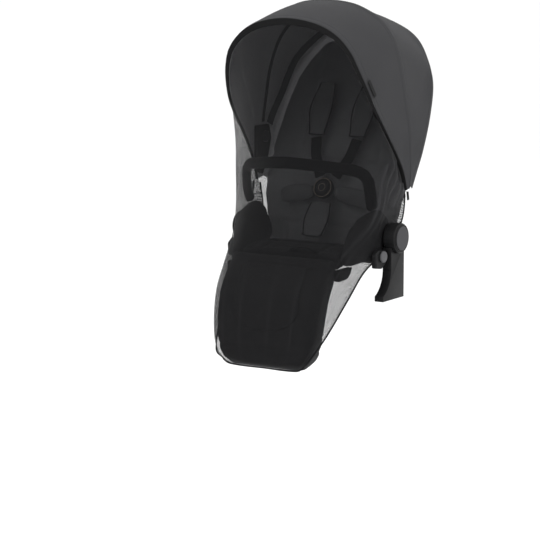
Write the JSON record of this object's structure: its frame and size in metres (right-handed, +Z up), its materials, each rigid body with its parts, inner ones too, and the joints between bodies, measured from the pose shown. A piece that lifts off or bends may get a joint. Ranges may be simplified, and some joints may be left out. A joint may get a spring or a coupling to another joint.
{
  "type": "stroller mosquito net on a stroller seat",
  "caption": "Fine mesh mosquito net stretched from the hood rim of a stroller seat down over its leg rest, with a bound rim and an elastic edge, on the plain seat and hood that it fits.",
  "frame": {"origin": "midway between the soles of the two arms that sit in the stroller's chassis", "axes": "+Z up, the front of the seat faces -Y, +X is the seated child's left"},
  "size_m": [0.4386, 0.5444, 0.8101],
  "materials": {
    "net": "fine black mosquito mesh, matt",
    "binding": "woven black edging, matt",
    "hood": "dark grey woven canopy cloth, matt",
    "seat": "black padded woven cloth, matt",
    "webbing": "black webbing and foam cover, matt",
    "plastic": "black moulded plastic, fine grain",
    "arm": "dark grey satin paint"
  },
  "bodies": {
    "root": {"net_body": "net", "rim_binding": "binding", "elastic_edge": "binding", "edge_loop_left": "binding", "edge_loop_right": "binding", "hood_front_panel": "hood", "hood_rear_panel": "hood", "backrest": "seat", "seat_pad": "seat", "seat_side_left": "seat", "seat_side_right": "seat", "leg_rest": "seat", "leg_liner": "seat", "shoulder_pad_left": "seat", "shoulder_pad_right": "seat", "waist_pad_left": "seat", "waist_pad_right": "seat", "crotch_pad": "seat", "label_tab": "webbing", "middle_tape": "webbing", "rear_tape": "webbing", "seat_pull": "webbing", "shoulder_strap_left": "webbing", "shoulder_strap_right": "webbing", "bumper_bar": "webbing", "hood_hinge_left": "plastic", "hood_hinge_right": "plastic", "hinge_knob_left": "plastic", "hinge_knob_right": "plastic", "buckle": "plastic", "buckle_button": "plastic", "hub_left": "plastic", "hub_right": "plastic", "hub_cap_left": "plastic", "hub_cap_right": "plastic", "catch_left": "plastic", "catch_right": "plastic", "leg_ear_left": "plastic", "leg_ear_right": "plastic", "arm_left": "arm", "arm_right": "arm"}
  },
  "joints": []
}
